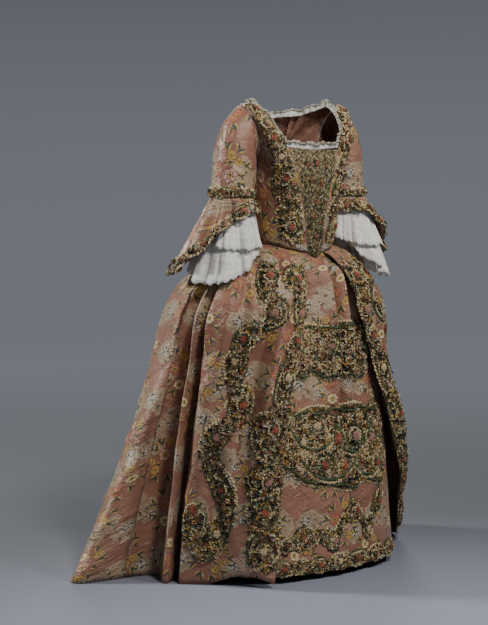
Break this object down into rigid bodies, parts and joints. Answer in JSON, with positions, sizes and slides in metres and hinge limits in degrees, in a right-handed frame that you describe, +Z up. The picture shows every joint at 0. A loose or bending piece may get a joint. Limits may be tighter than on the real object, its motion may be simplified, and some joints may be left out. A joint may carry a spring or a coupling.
{
  "type": "sack-back gown",
  "caption": "Sack-backed open silk gown with train, stomacher, matching petticoat, serpentine fly-fringe trims and lace sleeve falls, holding its worn form with nobody inside",
  "frame": {"origin": "between the shoulders, at the height of the shoulder seams, where the wearer holds the gown up", "axes": "+Z up; the wearer's front faces -Y; the wearer's right is -X and left is +X; the train spreads towards +Y"},
  "size_m": [1.251, 0.9108, 1.3878],
  "materials": {
    "silk_brocade": "dusty rose silk with a woven sheen",
    "fly_fringe": "cream, gold and green ruched fringe",
    "netted_front": "olive gold netted fringe",
    "white_lace": "white cotton lace"
  },
  "bodies": {
    "root": {"bodice_front_left": "silk_brocade", "bodice_front_right": "silk_brocade", "engageante_lower_left": "white_lace", "engageante_lower_right": "white_lace", "engageante_upper_left": "white_lace", "engageante_upper_right": "white_lace", "flounce_edging_left": "fly_fringe", "flounce_edging_right": "fly_fringe", "flounce_left": "silk_brocade", "flounce_right": "silk_brocade", "furbelow_lower": "fly_fringe", "furbelow_upper": "fly_fringe", "gown_skirt_left": "silk_brocade", "gown_skirt_right": "silk_brocade", "neck_frill": "white_lace", "petticoat": "silk_brocade", "petticoat_hem_trim": "fly_fringe", "petticoat_serpentine": "fly_fringe", "robing_trim_left": "fly_fringe", "robing_trim_right": "fly_fringe", "sack_back": "silk_brocade", "serpentine_trim_left": "fly_fringe", "serpentine_trim_right": "fly_fringe", "skirt_edge_trim_left": "fly_fringe", "skirt_edge_trim_right": "fly_fringe", "sleeve_header_left": "fly_fringe", "sleeve_header_right": "fly_fringe", "sleeve_left": "silk_brocade", "sleeve_right": "silk_brocade", "stomacher": "netted_front"}
  },
  "joints": []
}
